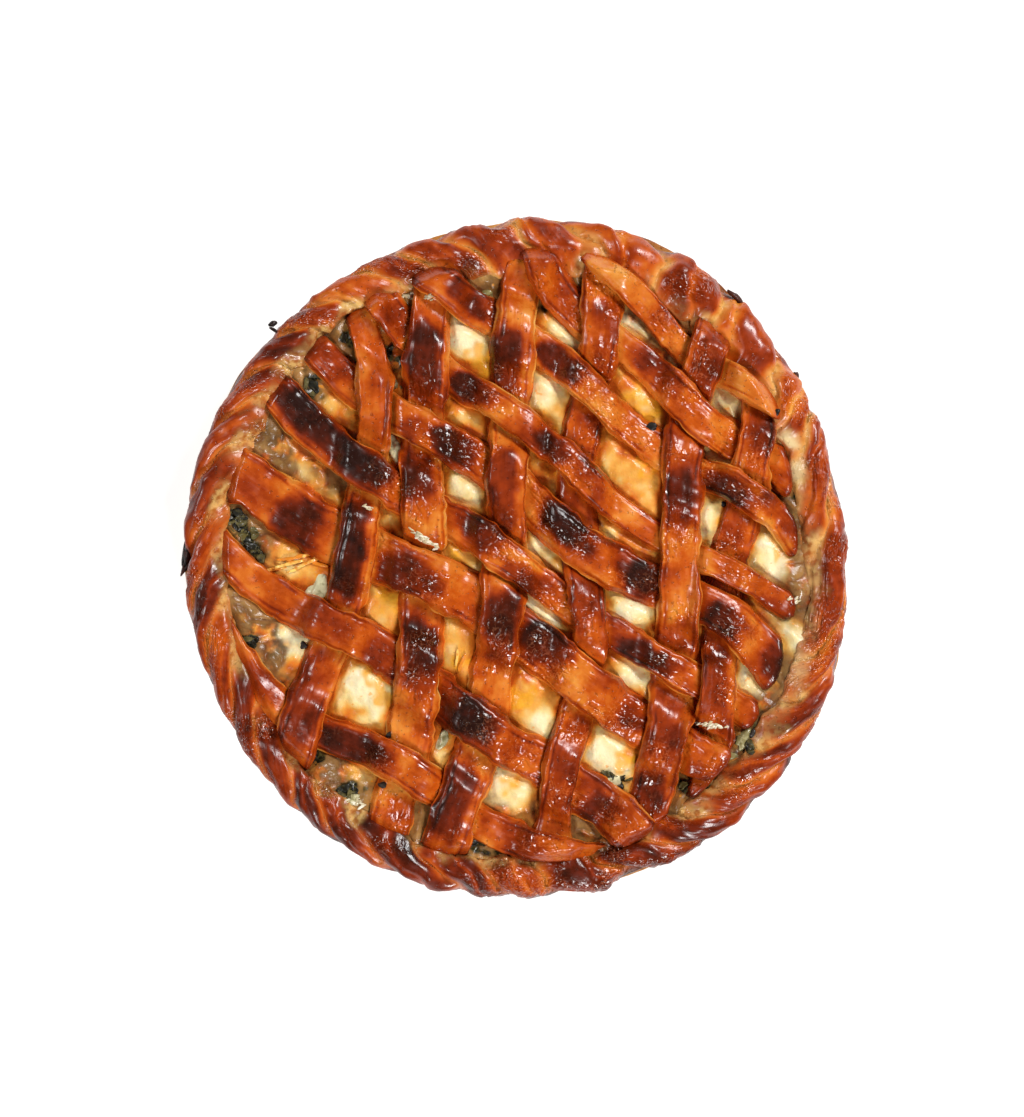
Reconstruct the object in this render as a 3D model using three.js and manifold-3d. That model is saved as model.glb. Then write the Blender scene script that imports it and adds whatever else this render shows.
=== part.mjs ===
// A round savoury pie: a bottom crust with raised sides, a creamy filling with
// lumps of cheese, a woven lattice of pastry strips and a rope edge.
// Millimetres, +Z up, standing on z = 0 with the middle of its box at x = y = 0.
import * as THREE from "three";
import { mergeVertices } from "three/addons/utils/BufferGeometryUtils.js";
import Module from "manifold-3d";

const wasm = await Module();
wasm.setup();
const { degToRad, smoothstep, lerp } = THREE.MathUtils;

// Whole pie
const PIE_RADIUS = 140;
const GAP = 0.4;
const STEPS_ROUND = 60;
// The outline strays from a circle by slow waves: waves round, share of the radius, phase.
const OUTLINE_WAVES = [
  { count: 2, share: 0.0125, phase: 176 },
  { count: 3, share: 0.01, phase: -157 },
  { count: 4, share: 0.009, phase: -104 },
];

// Bottom crust
const BASE_RADIUS = 125;
const BASE_THICKNESS = 5;
const SIDE_RADIUS = 138.5;
const SIDE_HEIGHT = 20.2;
const WALL_INNER_RADIUS = 122.4;

// Rope edge
const ROPE_HALF_WIDTH = 9;
const ROPE_HEIGHT_ABOVE = 8;
const ROPE_HEIGHT_BELOW = 6.6;
const ROPE_SQUARENESS_BELOW = 0.6;
const ROPE_LOBES = 33;
const ROPE_STRANDS = 3;
const ROPE_CREASE_DEPTH = 0.3;
const ROPE_STEPS_PER_LOBE = 4;
const ROPE_SECTION_POINTS = 12;
// How far the lobes are bunched up round the rim, in lobes.
const ROPE_BUNCHING = [
  { count: 1, lobes: 1.03, phase: 75 },
  { count: 2, lobes: 0.28, phase: 17 },
];
const ROPE_FIRST_CREASE = 0.82;

// Filling
const FILLING_EDGE_HEIGHT = 24;
const FILLING_MIDDLE_HEIGHT = 32;
const FILLING_RINGS = [0.985, 0.9, 0.72, 0.5, 0.25];
const LUMP_HEIGHT = 3.6;
const LUMP_CLEARANCE = 1.2;
const LUMP_SMALLEST = 2;
const RIM_LUMP_RADIUS = 115;
const RIM_LUMP_SIZE = 4.5;
const RIM_LUMP_STEP = 7;

// Lattice
const STRIP_THICKNESS = 5;
const STRIP_STEP = 7.4;
const STRIP_REACH = 126;
const STRIP_TRIM_RADIUS = 120.8;
const OVER_CLEARANCE = 1;
const LIFT_MARGIN = 1.6;
const LIFT_FALL = 7;
const LIFT_DEPTH = 2;
const CENTRELINE_STEPS = 80;
// A strip's section: share of the half width to the right, share of the thickness.
const STRIP_SECTION = [[-0.84, 0], [0, 0], [0.84, 0], [1, 0.45], [0.56, 1], [-0.56, 1], [-1, 0.45]];
// Each strip runs from one place on the rim to another, in degrees round from +X.
// drift is how far it strays to the left of the straight line, as the heights of
// one, two, three and four half waves. width is at its two ends.
const SLANTED_STRIPS = [
  { from: 72, to: 30.5, drift: [-5.5, 0.5, 1, 0], width: [11, 12] },
  { from: 86.5, to: 12.2, drift: [-6.9, -0.9, -1.5, -1.7], width: [14, 15] },
  { from: 108, to: -4, drift: [4.6, -2.6, 3.6, -2.4], width: [14.5, 12] },
  { from: 118.5, to: -12.5, drift: [-9.6, -0.4, -0.9, -2.6], width: [14, 9.5] },
  { from: 134, to: -25.5, drift: [0.4, -3.2, 2, -3.9], width: [14, 19] },
  { from: 145, to: -34.5, drift: [-4.8, -1.6, -1.7, -1.8], width: [17, 12] },
  { from: 162.5, to: -45, drift: [1.5, 0.5, -3.5, -0.2], width: [18.5, 18] },
  { from: 177.5, to: -67, drift: [1.5, -1.4, -0.7, -2.1], width: [14, 19] },
  { from: 197, to: -79, drift: [-9.4, -2.8, -2.8, -0.4], width: [14, 14] },
];
const UPRIGHT_STRIPS = [
  { from: 122.5, to: -139, drift: [15.4, 2.4, 1.3, 1.3], width: [13, 17] },
  { from: 106, to: -115.5, drift: [4.5, -3.1, 0, -0.3], width: [16, 18] },
  { from: 89, to: -105, drift: [9.1, -3.9, 0, -0.4], width: [15, 18] },
  { from: 74, to: -84, drift: [2.5, -3.4, -0.1, 3], width: [15, 18.5] },
  { from: 50, to: -66.5, drift: [0.5, -5.3, -0.3, -0.5], width: [16, 17.5] },
  { from: 37.5, to: -52, drift: [-1.1, 0.8, 1.7, -0.1], width: [15, 15.5] },
];
// The weave alternates, but one slanted strip slips by one place partway along.
const SLIPPED_STRIP = 4;
const SLIPPED_FROM = 4;

const CRUST_BROWN = new THREE.MeshStandardMaterial({ color: 0xb06a35, roughness: 0.6, metalness: 0 });
const STRIP_BROWN = new THREE.MeshStandardMaterial({ color: 0x9c4a20, roughness: 0.4, metalness: 0 });
const ROPE_BROWN = new THREE.MeshStandardMaterial({ color: 0xb5581f, roughness: 0.4, metalness: 0 });
const CREAM = new THREE.MeshStandardMaterial({ color: 0xe9d9a0, roughness: 0.5, metalness: 0 });

// Solids and meshes
function toSolid(geometry) {
  const bare = new THREE.BufferGeometry();
  bare.setAttribute("position", geometry.getAttribute("position"));
  if (geometry.index) {
    bare.setIndex(geometry.index);
  }
  const merged = mergeVertices(bare, 1e-4);
  const mesh = new wasm.Mesh({
    numProp: 3,
    vertProperties: new Float32Array(merged.getAttribute("position").array),
    triVerts: new Uint32Array(merged.index.array),
  });
  mesh.merge();
  return new wasm.Manifold(mesh);
}

function toGeometry(solid) {
  const mesh = solid.getMesh();
  const geometry = new THREE.BufferGeometry();
  geometry.setAttribute("position", new THREE.BufferAttribute(mesh.vertProperties, 3));
  geometry.setIndex(new THREE.BufferAttribute(mesh.triVerts, 1));
  geometry.computeVertexNormals();
  return geometry;
}

// Joins rings of points, each with the same count, into one skin. The rings close
// on each other in a loop, or the first and last are filled in.
function skinOfRings(rings, isLoop) {
  const size = rings[0].length;
  const index = [];
  const pairs = isLoop ? rings.length : rings.length - 1;
  for (let i = 0; i < pairs; i += 1) {
    const here = i * size;
    const next = ((i + 1) % rings.length) * size;
    for (let k = 0; k < size; k += 1) {
      const after = (k + 1) % size;
      index.push(here + k, next + k, here + after);
      index.push(next + k, next + after, here + after);
    }
  }
  if (!isLoop) {
    const last = (rings.length - 1) * size;
    for (let k = 1; k < size - 1; k += 1) {
      index.push(0, k, k + 1);
      index.push(last, last + k + 1, last + k);
    }
  }
  const geometry = new THREE.BufferGeometry();
  geometry.setFromPoints(rings.flat());
  geometry.setIndex(index);
  return geometry;
}

// The pie's outline
function outlineShare(angle) {
  let share = 1;
  for (const wave of OUTLINE_WAVES) {
    share += wave.share * Math.cos(wave.count * angle - degToRad(wave.phase));
  }
  return share;
}

function turnedSolid(profile) {
  const points = profile.map(([radius, height]) => new THREE.Vector2(radius, height));
  const geometry = new THREE.LatheGeometry(points, STEPS_ROUND);
  geometry.rotateX(Math.PI / 2);
  const position = geometry.getAttribute("position");
  for (let i = 0; i < position.count; i += 1) {
    const share = outlineShare(Math.atan2(position.getY(i), position.getX(i)));
    position.setXY(i, position.getX(i) * share, position.getY(i) * share);
  }
  return toSolid(geometry);
}

// Bottom crust
function makeCrust() {
  return turnedSolid([
    [0, 0],
    [BASE_RADIUS - 3, 0],
    [BASE_RADIUS + 2, 1.6],
    [SIDE_RADIUS - 4, SIDE_HEIGHT * 0.45],
    [SIDE_RADIUS, SIDE_HEIGHT * 0.78],
    [SIDE_RADIUS - 1, SIDE_HEIGHT * 0.93],
    [SIDE_RADIUS - 3, SIDE_HEIGHT],
    [WALL_INNER_RADIUS + 1.5, SIDE_HEIGHT],
    [WALL_INNER_RADIUS, SIDE_HEIGHT - 2],
    [WALL_INNER_RADIUS, BASE_THICKNESS + 3],
    [WALL_INNER_RADIUS - 3, BASE_THICKNESS],
    [0, BASE_THICKNESS],
  ]);
}

// Rope edge, with creases that fade out underneath where it lies on the crust
function lobeDrift(angle) {
  let lobes = -ROPE_FIRST_CREASE;
  for (const wave of ROPE_BUNCHING) {
    lobes += wave.lobes * Math.cos(wave.count * angle + degToRad(wave.phase));
  }
  return lobes;
}

function angleOfLobe(lobe) {
  let angle = (lobe / ROPE_LOBES) * 2 * Math.PI;
  for (let round = 0; round < 30; round += 1) {
    angle = ((lobe - lobeDrift(angle)) / ROPE_LOBES) * 2 * Math.PI;
  }
  return angle;
}

function ropeRing(lobe) {
  const angle = angleOfLobe(lobe);
  const middle = PIE_RADIUS * outlineShare(angle) - ROPE_HALF_WIDTH;
  const middleHeight = SIDE_HEIGHT + GAP + ROPE_HEIGHT_BELOW;
  const ring = [];
  for (let k = 0; k < ROPE_SECTION_POINTS; k += 1) {
    const round = (k / ROPE_SECTION_POINTS) * 2 * Math.PI;
    const strand = (ROPE_STRANDS / 2) * (round - Math.PI / 2) + Math.PI * lobe;
    const sine = Math.sin(round);
    const cosine = Math.cos(round);
    const creasing = ROPE_CREASE_DEPTH * Math.min(1 + sine, 1);
    const fullness = 1 - creasing * (1 - Math.abs(Math.sin(strand))) ** 2;
    const squareness = sine > 0 ? 1 : ROPE_SQUARENESS_BELOW;
    const height = sine > 0 ? ROPE_HEIGHT_ABOVE : ROPE_HEIGHT_BELOW;
    const radius = middle + ROPE_HALF_WIDTH * fullness * Math.sign(cosine) * Math.abs(cosine) ** squareness;
    const z = middleHeight + height * fullness * Math.sign(sine) * Math.abs(sine) ** squareness;
    ring.push(new THREE.Vector3(radius * Math.cos(angle), radius * Math.sin(angle), z));
  }
  return ring;
}

function makeRope() {
  const rings = [];
  for (let step = 0; step < ROPE_LOBES * ROPE_STEPS_PER_LOBE; step += 1) {
    rings.push(ropeRing(step / ROPE_STEPS_PER_LOBE));
  }
  return toSolid(skinOfRings(rings, true));
}

// Top of the filling under the lattice, a low dome
function domeHeight(share) {
  return lerp(FILLING_MIDDLE_HEIGHT, FILLING_EDGE_HEIGHT, share * share);
}

function fillingTop(place) {
  const edge = WALL_INNER_RADIUS * outlineShare(Math.atan2(place.y, place.x));
  return domeHeight(place.length() / edge);
}

// Lattice strips
function centreline(strip) {
  const start = new THREE.Vector2(STRIP_REACH, 0).rotateAround(new THREE.Vector2(), degToRad(strip.from));
  const end = new THREE.Vector2(STRIP_REACH, 0).rotateAround(new THREE.Vector2(), degToRad(strip.to));
  const along = end.clone().sub(start);
  const left = new THREE.Vector2(-along.y, along.x).normalize();
  return (share) => {
    let drift = 0;
    strip.drift.forEach((height, i) => {
      drift += height * Math.sin((i + 1) * Math.PI * share);
    });
    return start.clone().addScaledVector(along, share).addScaledVector(left, drift);
  };
}

function laidStrip(strip, number, isSlanted) {
  const pointAt = centreline(strip);
  const points = [];
  let length = 0;
  for (let i = 0; i <= CENTRELINE_STEPS; i += 1) {
    points.push(pointAt(i / CENTRELINE_STEPS));
    length += i > 0 ? points[i].distanceTo(points[i - 1]) : 0;
  }
  const halfWidthAt = (share) => lerp(strip.width[0], strip.width[1], share) / 2;
  return { number, isSlanted, pointAt, points, length, halfWidthAt };
}

// Distance from a place to the near edge of a strip; below zero inside the strip.
function distanceToEdge(strip, place) {
  let nearest = Infinity;
  let share = 0;
  strip.points.forEach((point, i) => {
    const distance = point.distanceTo(place);
    if (distance < nearest) {
      nearest = distance;
      share = i / CENTRELINE_STEPS;
    }
  });
  return nearest - strip.halfWidthAt(share);
}

function isOver(strip, other) {
  const slanted = strip.isSlanted ? strip.number : other.number;
  const upright = strip.isSlanted ? other.number : strip.number;
  const slip = slanted === SLIPPED_STRIP && upright >= SLIPPED_FROM ? 1 : 0;
  const slantedIsOver = (slanted + upright + slip) % 2 === 1;
  return strip.isSlanted === slantedIsOver;
}

// How far a strip is lifted where it lies over others, which may be lifted themselves.
function liftAt(strip, place, depth) {
  let lift = 0;
  for (const other of strip.across) {
    const clear = distanceToEdge(other, place) - LIFT_MARGIN;
    if (isOver(strip, other) && clear < LIFT_FALL) {
      const below = depth > 0 ? liftAt(other, place, depth - 1) : 0;
      const height = STRIP_THICKNESS + OVER_CLEARANCE + below;
      lift = Math.max(lift, height * (1 - smoothstep(clear, 0, LIFT_FALL)));
    }
  }
  return lift;
}

function stripRing(strip, share) {
  const middle = strip.pointAt(share);
  const ahead = strip.pointAt(share + 0.002).sub(strip.pointAt(share - 0.002)).normalize();
  const right = new THREE.Vector2(ahead.y, -ahead.x);
  return STRIP_SECTION.map(([across, up]) => {
    const place = middle.clone().addScaledVector(right, across * strip.halfWidthAt(share));
    const bottom = fillingTop(place) + GAP + liftAt(strip, place, LIFT_DEPTH);
    return new THREE.Vector3(place.x, place.y, bottom + up * STRIP_THICKNESS);
  });
}

function stripSkin(strip) {
  const steps = Math.ceil(strip.length / STRIP_STEP);
  const rings = [];
  for (let i = 0; i <= steps; i += 1) {
    rings.push(stripRing(strip, i / steps));
  }
  return skinOfRings(rings, false);
}

// A strip is trimmed inside the rope edge and pressed in by the strips that lie over it.
function makeStrip(strip, trimmer) {
  let solid = toSolid(stripSkin(strip)).intersect(trimmer);
  for (const other of strip.across) {
    if (isOver(other, strip)) {
      const press = stripSkin(other);
      press.translate(0, 0, -GAP);
      solid = solid.subtract(toSolid(press));
    }
  }
  return solid;
}

function makeTrimmer() {
  const points = [];
  for (let i = 0; i < STEPS_ROUND; i += 1) {
    const angle = (i / STEPS_ROUND) * 2 * Math.PI;
    const radius = STRIP_TRIM_RADIUS * outlineShare(angle);
    points.push(new THREE.Vector2(radius * Math.cos(angle), radius * Math.sin(angle)));
  }
  const shape = new THREE.Shape(points);
  return toSolid(new THREE.ExtrudeGeometry(shape, { depth: 3 * FILLING_MIDDLE_HEIGHT, bevelEnabled: false }));
}

// Filling with a lump in each window of the lattice and small lumps along the rim
function makeLump(place, halfLength, halfWidth, turn) {
  const ball = new THREE.SphereGeometry(1, 7, 4);
  ball.rotateX(Math.PI / 2);
  ball.scale(halfLength, halfWidth, LUMP_HEIGHT);
  ball.rotateZ(turn);
  ball.translate(place.x, place.y, fillingTop(place));
  return toSolid(ball);
}

function crossing(strip, other) {
  let nearest = Infinity;
  const middle = new THREE.Vector2();
  for (const point of strip.points) {
    for (const match of other.points) {
      const distance = point.distanceTo(match);
      if (distance < nearest) {
        nearest = distance;
        middle.addVectors(point, match).multiplyScalar(0.5);
      }
    }
  }
  return middle;
}

function windowLump(slantedPair, uprightPair) {
  const corners = [];
  for (const slanted of slantedPair) {
    for (const upright of uprightPair) {
      corners.push(crossing(slanted, upright));
    }
  }
  const middle = new THREE.Vector2();
  corners.forEach((corner) => middle.addScaledVector(corner, 0.25));
  const alongSlanted = corners[1].clone().sub(corners[0]).add(corners[3]).sub(corners[2]);
  const alongUpright = corners[2].clone().sub(corners[0]).add(corners[3]).sub(corners[1]);
  const slant = alongSlanted.angle() - alongUpright.angle();
  const room = (pair) => Math.min(...pair.map((strip) => distanceToEdge(strip, middle))) - LUMP_CLEARANCE;
  const halfWidth = Math.min(room(slantedPair), room(uprightPair) * 1.1);
  const reach = room(uprightPair) ** 2 - (halfWidth * Math.cos(slant)) ** 2;
  const halfLength = Math.sqrt(Math.max(reach, 0)) / Math.abs(Math.sin(slant));
  const isInside = middle.length() < WALL_INNER_RADIUS - halfLength - 4;
  if (!isInside || Math.min(halfWidth, halfLength) < LUMP_SMALLEST) {
    return null;
  }
  return makeLump(middle, halfLength, halfWidth, alongSlanted.angle());
}

function rimLump(angle, strips) {
  const radius = RIM_LUMP_RADIUS * outlineShare(angle);
  const place = new THREE.Vector2(radius * Math.cos(angle), radius * Math.sin(angle));
  const room = Math.min(...strips.map((strip) => distanceToEdge(strip, place))) - LUMP_CLEARANCE;
  const size = Math.min(room, RIM_LUMP_SIZE);
  return size < LUMP_SMALLEST ? null : makeLump(place, size, size, angle);
}

function makeFilling() {
  const edge = WALL_INNER_RADIUS - GAP;
  const top = FILLING_RINGS.map((share) => [edge * share, domeHeight(share)]);
  let filling = turnedSolid([
    [0, BASE_THICKNESS + GAP],
    [edge - 3.2, BASE_THICKNESS + GAP],
    [edge, BASE_THICKNESS + GAP + 3.2],
    [edge, FILLING_EDGE_HEIGHT - 1],
    ...top,
    [0, FILLING_MIDDLE_HEIGHT],
  ]);
  const lumps = [];
  for (let i = 0; i + 1 < slanted.length; i += 1) {
    for (let j = 0; j + 1 < upright.length; j += 1) {
      lumps.push(windowLump(slanted.slice(i, i + 2), upright.slice(j, j + 2)));
    }
  }
  for (let angle = 0; angle < 360; angle += RIM_LUMP_STEP) {
    lumps.push(rimLump(degToRad(angle), [...slanted, ...upright]));
  }
  for (const lump of lumps) {
    filling = lump ? filling.add(lump) : filling;
  }
  return filling;
}

// The whole pie
const slanted = SLANTED_STRIPS.map((strip, i) => laidStrip(strip, i + 1, true));
const upright = UPRIGHT_STRIPS.map((strip, i) => laidStrip(strip, i + 1, false));
for (const strip of [...slanted, ...upright]) {
  strip.across = strip.isSlanted ? upright : slanted;
}

const pie = new THREE.Group();

function addNode(name, solid, material) {
  const mesh = new THREE.Mesh(toGeometry(solid), material);
  mesh.name = name;
  pie.add(mesh);
}

addNode("bottom_crust", makeCrust(), CRUST_BROWN);
addNode("filling", makeFilling(), CREAM);
addNode("rope_edge", makeRope(), ROPE_BROWN);
const trimmer = makeTrimmer();
for (const strip of slanted) {
  addNode(`slanted_strip_${strip.number}`, makeStrip(strip, trimmer), STRIP_BROWN);
}
for (const strip of upright) {
  addNode(`upright_strip_${strip.number}`, makeStrip(strip, trimmer), STRIP_BROWN);
}

const middle = new THREE.Box3().setFromObject(pie).getCenter(new THREE.Vector3());
pie.position.set(-middle.x, -middle.y, 0);

export default pie;
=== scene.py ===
import math

import bpy
import numpy as np
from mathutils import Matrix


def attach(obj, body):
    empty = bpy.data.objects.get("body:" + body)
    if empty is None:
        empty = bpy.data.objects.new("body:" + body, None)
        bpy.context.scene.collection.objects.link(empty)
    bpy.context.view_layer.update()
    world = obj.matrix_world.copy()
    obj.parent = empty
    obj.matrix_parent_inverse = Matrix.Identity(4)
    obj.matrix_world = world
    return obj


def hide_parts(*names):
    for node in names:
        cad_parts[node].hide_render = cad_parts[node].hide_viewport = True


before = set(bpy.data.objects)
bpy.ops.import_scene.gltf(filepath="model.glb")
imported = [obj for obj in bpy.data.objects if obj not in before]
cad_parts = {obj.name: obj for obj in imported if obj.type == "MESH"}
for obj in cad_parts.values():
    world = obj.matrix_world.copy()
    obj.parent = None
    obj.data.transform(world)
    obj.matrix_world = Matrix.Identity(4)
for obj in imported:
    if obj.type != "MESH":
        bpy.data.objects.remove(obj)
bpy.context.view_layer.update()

# Sizes are in millimetres from the middle of the pie
MM = 0.001
PIE_MIDDLE = (1.2338, -0.6629)
PIE_RADIUS = 140.0
OUTLINE_WAVES = ((2, 0.0125, 176), (3, 0.01, -157), (4, 0.009, -104))
GAP = 0.4
WELD = 0.02

# Bottom crust: radius, height and mesh rows to the next point
CRUST_PROFILE = (
    (0, 0, 2), (100, 0, 2), (122, 0, 4), (127, 1.6, 10), (134.5, 9.09, 10), (138.5, 15.76, 5),
    (138.2, 18.79, 4), (135.5, 20.2, 8), (123.9, 20.2, 2), (122.4, 18.2, 4), (122.4, 8, 2),
    (119.4, 5, 2), (100, 5, 2), (0, 5, 0),
)
CRUST_COLUMNS = 720
WALL_INNER_RADIUS = 122.4
WALL_HEIGHT = 20.2

# Rope edge
ROPE_HALF_WIDTH = 9.0
ROPE_HEIGHT_ABOVE = 8.0
ROPE_HEIGHT_BELOW = 6.6
ROPE_SQUARENESS_BELOW = 0.6
ROPE_STAND_OUT = 0.7
ROPE_LOBES = 33
ROPE_CREASE = 0.42
ROPE_MIDDLE_HEIGHT = WALL_HEIGHT + GAP + ROPE_HEIGHT_BELOW
ROPE_COLUMNS = 1240
ROPE_ROWS = 60
ROPE_SEED = 5

# Inner flap of the rope, by side angle: where it starts, ends and lies on the filling, and its sunken tip
FLAP_START = 2.0
FLAP_START_RUN = 0.9
FLAP_END = 3.35
FLAP_END_RUN = 0.45
FLAP_LAID = (1.9, 3.6)
FLAP_TIP = 2.6
FLAP_TIP_RUN = 0.75
FLAP_SINK = 1.3

# Tables round the rim hold an angle in degrees and the value there, first how far the lobes twist
ROPE_TWIST = (
    (0, 1.1), (30, 0.6), (70, 0.6), (100, 0.9), (150, 1.2), (175, 1.6), (205, 1.7), (235, 1.2),
    (260, 0.6), (285, 0.7), (310, 1.7), (335, 1.6),
)
# Side angle where pale soft dough begins
ROPE_SOFT_FROM = (
    (0, 117), (25, 118), (45, 130), (90, 124), (130, 108), (165, 116), (190, 124), (240, 132),
    (270, 134), (300, 125), (325, 119), (345, 117),
)
# Bulge of the lobes
ROPE_BULGE = (
    (0, 0.0), (25, 0.1), (75, 0.08), (100, 0.0), (240, 0.04), (255, 0.24), (285, 0.24), (300, 0.04),
)
# How far each lobe stands over the next
ROPE_OVERLAP = (
    (0, 0.1), (30, 0.12), (90, 0.15), (120, 0.24), (160, 0.24), (190, 0.12), (250, 0.14), (290, 0.1),
)
# Least depth of the second crease in a lobe
ROPE_SECOND = (
    (0, 0.06), (22, 0.2), (75, 0.18), (100, 0.05), (240, 0.05), (258, 0.16), (285, 0.16), (300, 0.05),
)
# Depth between the fine strands of a lobe
ROPE_STRANDS = (
    (0, 0.09), (30, 0.05), (110, 0.05), (150, 0.02), (250, 0.02), (290, 0.07), (315, 0.11), (345, 0.1),
)
# Length of the flap
ROPE_FLAP = (
    (0, 3), (12, 4), (22, 5), (32, 6), (45, 9), (75, 7), (100, 5), (114, 3), (126, 1), (138, 5),
    (155, 6), (175, 4), (220, 3), (245, 4), (256, 2), (266, 2), (275, 4), (285, 4), (300, 3), (318, 4),
    (330, 7), (344, 5),
)
# Share of the usual width
ROPE_WIDTH = (
    (0, 0.86), (14, 0.88), (22, 0.78), (32, 1.06), (40, 1.12), (80, 1.08), (108, 1.0), (126, 0.8),
    (145, 0.92), (180, 0.86), (230, 0.86), (246, 0.95), (256, 0.84), (266, 0.88), (275, 1.04),
    (300, 0.95), (325, 0.9), (344, 0.82),
)
# Wrinkling of wet dough
ROPE_CRINKLE = (
    (0, 0.6), (25, 0.25), (60, 0.1), (100, 0.0), (200, 0.0), (250, 0.2), (300, 0.5), (340, 0.7),
)
# Extra browning
ROPE_TONE = (
    (0, 0.03), (35, -0.04), (80, -0.01), (120, 0.0), (180, 0.12), (215, 0.08), (250, 0.16), (280, 0.12),
    (310, 0.11), (345, 0.08),
)
# Cream on the flap
ROPE_CREAM = (
    (0, 0.1), (12, 0.1), (17, 0.9), (25, 0.9), (30, 0.2), (45, 0), (325, 0), (338, 0.5), (348, 0.5),
    (354, 0.2),
)
# Pale dough along the creases
ROPE_WEB = (
    (0, 0.15), (20, 0.6), (75, 0.6), (100, 0.25), (250, 0.15), (290, 0.25),
)

# Filling
FILLING_EDGE = 125.0
FILLING_FOOT = 121.0
FILLING_BOTTOM = 5.4
FILLING_MIDDLE_HEIGHT = 32.0
FILLING_EDGE_HEIGHT = 24.0
FILLING_CELLS = 300
WINDOW_SWELL = 3.0
FILLING_LIFT = 0.7
RIM_RISE = 4.0
RIM_RISE_FROM = 0.88
RIM_RISE_RUN = 0.11

# How far each kind of spot in the windows reaches
PALE_REACH = 15.0
PALE_RIM_REACH = 14.0
PALE_SWELL_REACH = 13.0
GOLDEN_REACH = 12.0
FOLD_REACH = 13.0
GREEN_REACH = 7.5
GREEN_SINK_REACH = 6.0
STAIN_REACH = 7.0

# Strips climb by the rim and then dip under the rope, by distance from the middle
END_CLIMB = 2.4
CLIMB_FROM = 116.0
CLIMB_RUN = 8.0
END_DIP = 4.5
DIP_FROM = 121.0
DIP_RUN = 6.5

# Lattice strips
STRIP_REACH = 126.0
STRIP_TUCK = (
    (0, 119), (14, 121), (28, 127), (60, 127.5), (290, 127.5), (312, 121), (325, 118.5), (345, 118.5),
)
STRIP_END_ROUNDING = 3.0
STRIP_THICKNESS = 5.0
OVER_CLEARANCE = 1.0
LIFT_MARGIN = 1.6
LIFT_FALL = 7.0
LIFT_DEPTH = 2
DRAPE_PASSES = 26
PRESS_MARGIN = 1.0
PRESS_FALL = 4.0
THINNED_FROM = 115.0
THINNED_RUN = 10.0
END_BEVEL = 3.5
STRIP_STEP = 0.56
TRACE_POINTS = 240
TRACE_OVERRUN = 0.05
TRACE_BATCH = 8000
END_POINTS = 900
END_OVERRUN = 0.15

# A browned stretch: how far its ends bow, fade in and fade out, its full depth and the crinkles past it
BROWN_BOW = 9.0
BROWN_RISE = 8.0
BROWN_FALL = 16.0
BROWN_DEPTH = 0.93
CRINKLE_RUN = 10.0

# Crinkles calm down towards the left side of the pie
CALM_CRINKLE = 0.12
CALM_SIDE = -92.0
CALM_WIDTH = 55.0

# Lines along a strip, as shares of its half width
SEAM_SIDE = 0.74
CURL_SIDE = 0.88
EDGE_LINE_SIDE = 0.95

# Half of a strip's section from bottom middle to top middle: sideways share, height share, mesh rows
STRIP_SECTION = (
    (0, 0, 2), (0.93, 0, 1), (1.04, 0.0, 1), (1.07, 0.1, 2), (1.04, 0.25, 2), (1.0, 0.45, 2),
    (0.95, 0.7, 2), (0.87, 0.88, 3), (0.64, 0.96, 4), (0.32, 0.99, 4), (0, 1, 0),
)

# Small bits
WELL_ABOVE = 200.0
SMALL_LUMP = 4.0
FLAKE_CELLS = (10, 5)
SHRED_SEED = 23
SHREDS_AT_SPOT = 3
SHRED_SCATTER = 3.2
SHRED_CLEARANCE = 1.2
SHRED_REACH = 1.02
CRUMB_SEED = 31

# Each strip: rim angles of its ends, sideways drift, widths of its ends, plain tone,
# and its browned stretches as start share, end share and depth of browning
SLANTED_STRIPS = (
    ((72, 30.5), (-5.5, 0.5, 1, 0), (11, 12), 0.3, ((0.22, 0.34, 0.5),)),
    ((86.5, 12.2), (-6.9, -0.9, -1.5, -1.7), (14, 15), 0.42, ((0.12, 0.19, 0.55), (0.36, 0.53, 0.74))),
    ((108, -4), (4.6, -2.6, 3.6, -2.4), (14.5, 12), 0.45,
     ((0.04, 0.19, 0.82), (0.26, 0.37, 1.02), (0.47, 0.53, 0.56), (0.67, 0.78, 0.8), (0.79, 0.95, 0.68))),
    ((118.5, -12.5), (-9.6, -0.4, -0.9, -2.6), (14, 9.5), 0.45,
     ((0.02, 0.09, 0.66), (0.19, 0.28, 1.0), (0.38, 0.46, 0.87), (0.46, 0.52, 0.66), (0.78, 0.85, 0.55))),
    ((134, -25.5), (0.4, -3.2, 2, -3.9), (14, 19), 0.46,
     ((0.0, 0.05, 0.66), (0.07, 0.12, 0.55), (0.2, 0.25, 0.8), (0.25, 0.34, 0.98), (0.47, 0.57, 1.0),
      (0.64, 0.72, 0.97), (0.79, 0.87, 0.96), (0.91, 1.0, 0.9))),
    ((145, -34.5), (-4.8, -1.6, -1.7, -1.8), (17, 12), 0.48,
     ((0.015, 0.25, 1.0), (0.38, 0.47, 0.87), (0.49, 0.58, 0.78), (0.71, 0.81, 0.96))),
    ((162.5, -45), (1.5, 0.5, -3.5, -0.2), (22.5, 17.5), 0.45,
     ((0.09, 0.18, 0.82), (0.29, 0.39, 0.87), (0.56, 0.65, 0.96), (0.77, 0.82, 0.78), (0.9, 0.98, 0.56))),
    ((177.5, -67), (1.5, -1.4, -0.7, -2.1), (14, 19), 0.52,
     ((0.08, 0.31, 0.6), (0.33, 0.43, 0.82), (0.54, 0.64, 0.98), (0.66, 0.72, 0.6), (0.86, 0.94, 0.8))),
    ((197, -79), (-10.2, -1.2, -4.4, -0.4), (14, 14), 0.5,
     ((0.04, 0.15, 0.8), (0.28, 0.46, 1.0), (0.76, 0.9, 0.64))),
)
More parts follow.
